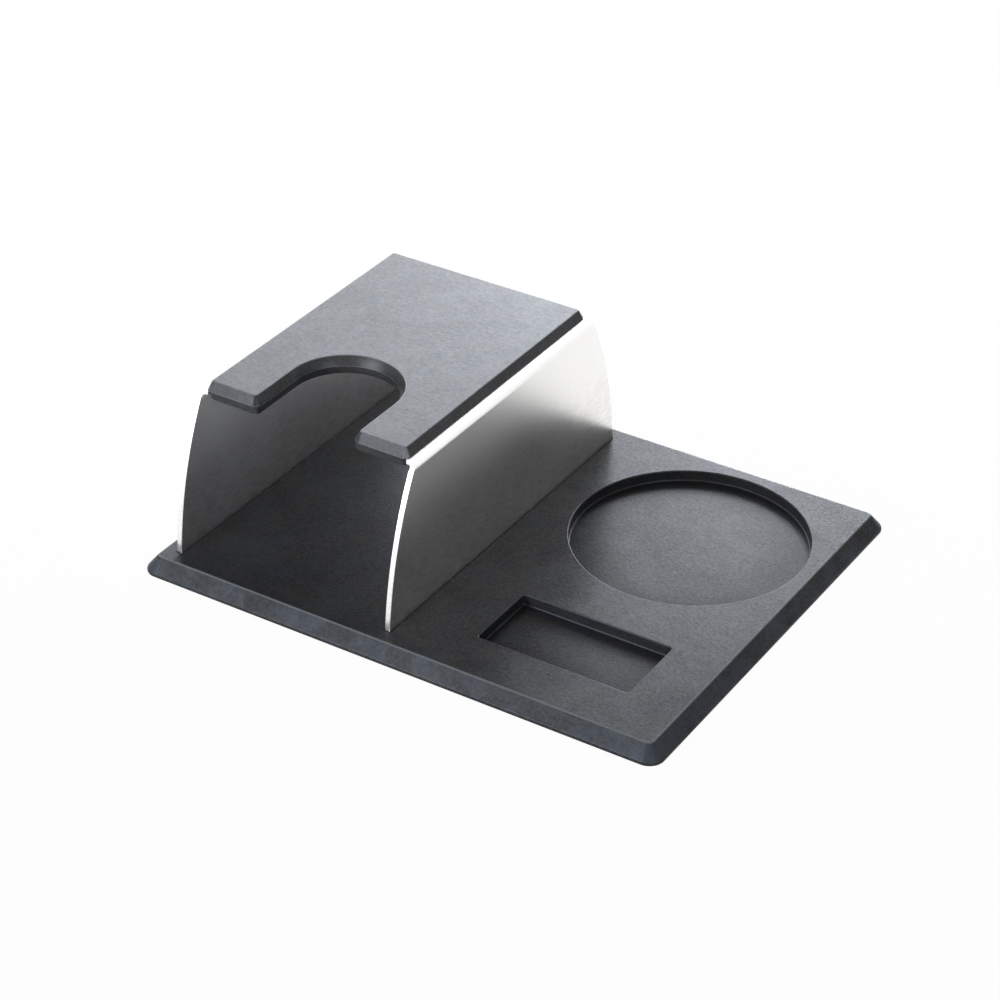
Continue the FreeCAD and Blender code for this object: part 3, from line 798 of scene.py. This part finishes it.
def steel_material(name):
    """Satin stainless sheet: fine streaks along the bends, soft clouds in the sheen and painted shade low on
    its sides.
    """
    material, surface, start, place = new_material(name)
    streak, blot = (noise(place, *pattern) for pattern in (STREAK, BLOT))
    height = along_axes(place)[2]
    shade = streak.ease(*STREAK_BETWEEN) * STREAK_IN_COLOUR + blot.ease(*BLOT_BETWEEN) * BLOT_IN_COLOUR
    # Painted shade: the sides are darker low down
    painted_shade_low = height.ease(*STEEL_SHADE_HEIGHTS).between(STEEL_PAINTED_SHADE, STEEL_DARK)
    colour = shade.between(painted_shade_low, STEEL_PALE)
    rough = SATIN + streak * STREAK_IN_SATIN + height.ease(*SATIN_UPPER_PART) * SATIN_ABOVE
    metal = 1 - streak.ease(*DULL_BETWEEN) * DULL_SHARE
    dress(start.tree, surface, {"Base Color": colour, "Roughness": rough, "Metallic": metal})
    return material


# Camera, lamps and floor

def camera_axes(turn, climb, roll):
    """The camera's right, up and back directions from its turn, climb and roll."""
    back = Vector((math.sin(turn) * math.cos(climb), -math.cos(turn) * math.cos(climb), math.sin(climb)))
    right = Vector((math.cos(turn), math.sin(turn), 0))
    up = back.cross(right)
    tipped = right * math.cos(roll) + up * math.sin(roll)
    return tipped, up * math.cos(roll) - right * math.sin(roll), back


def aim_camera():
    """The camera at the photograph's place, angle and focal length."""
    data = bpy.data.cameras.new("camera")
    data.sensor_width = CAMERA_SENSOR
    data.lens = CAMERA_LENS
    data.clip_start, data.clip_end = CAMERA_CLIP
    camera = bpy.data.objects.new("camera", data)
    scene.collection.objects.link(camera)
    axes = camera_axes(*(math.radians(angle) for angle in (CAMERA_TURN, CAMERA_CLIMB, CAMERA_ROLL)))
    turn = Matrix(axes).transposed().to_4x4()
    camera.matrix_world = Matrix.Translation(CAMERA_PLACE) @ turn
    scene.camera = camera


def seen_white(start):
    """1 for rays from the camera and for mirrored or clear rays, which then see plain white."""
    ways = [start.node("ShaderNodeLightPath", out=name)
            for name in ("Is Camera Ray", "Is Glossy Ray", "Is Transmission Ray")]
    return ways[0].larger(ways[1]).larger(ways[2])


def light_world():
    """A dim even room that looks white to the camera and in reflections."""
    world = bpy.data.worlds.new("studio")
    world.use_nodes = True
    tree = world.node_tree
    start = Shade(tree)
    seen = seen_white(start)
    background = tree.nodes["Background"]
    background.inputs["Color"].default_value = (1, 1, 1, 1)
    tree.links.new((seen * (1 - AMBIENT) + AMBIENT).socket, background.inputs["Strength"])
    scene.world = world


def lay_floor():
    """A plain white floor that keeps a faint shadow."""
    mesh = bmesh.new()
    bmesh.ops.create_grid(mesh, x_segments=1, y_segments=1, size=FLOOR_REACH)
    data = bpy.data.meshes.new("floor")
    mesh.to_mesh(data)
    mesh.free()
    floor = bpy.data.objects.new("floor", data)
    scene.collection.objects.link(floor)
    material = bpy.data.materials.new("white floor")
    material.use_nodes = True
    tree = material.node_tree
    tree.nodes.remove(tree.nodes["Principled BSDF"])
    start = Shade(tree)
    paint = start.node("ShaderNodeBsdfDiffuse", None, {"Color": FLOOR_PAINT})
    glow = start.node("ShaderNodeEmission", None, {"Color": (1, 1, 1, 1), "Strength": 1.0})
    both = start.node("ShaderNodeMixShader", None, {0: seen_white(start) * FLOOR_WHITE, 1: paint, 2: glow})
    tree.links.new(both.socket, tree.nodes["Material Output"].inputs["Surface"])
    data.materials.append(material)


def soft_box(name, place, target, size, power):
    """A soft rectangular lamp that faces a target."""
    data = bpy.data.lights.new(name, "AREA")
    data.shape = "RECTANGLE"
    data.size, data.size_y = size
    data.energy = power
    data.color = DAYLIGHT
    lamp = bpy.data.objects.new(name, data)
    scene.collection.objects.link(lamp)
    lamp.location = place
    lamp.rotation_mode = "QUATERNION"
    lamp.rotation_quaternion = (Vector(target) - Vector(place)).to_track_quat("-Z", "Y")


aim_camera()
mat_rubber = rubber_material(
    "moulded mat rubber", gloss=0.36, shine=0.05, bloom=0.18, contrast=0.55, on_mat=True,
)
pad_rubber = rubber_material(
    "moulded pad rubber", gloss=0.37, shine=0.12, bloom=0.35, contrast=0.35, on_mat=False,
)
satin_steel = steel_material("satin stainless steel")
make_mat(mat_rubber)
make_bridge(satin_steel)
make_pad(pad_rubber)
lay_floor()
light_world()
for name, lamp in LAMPS.items():
    soft_box(name, *lamp)
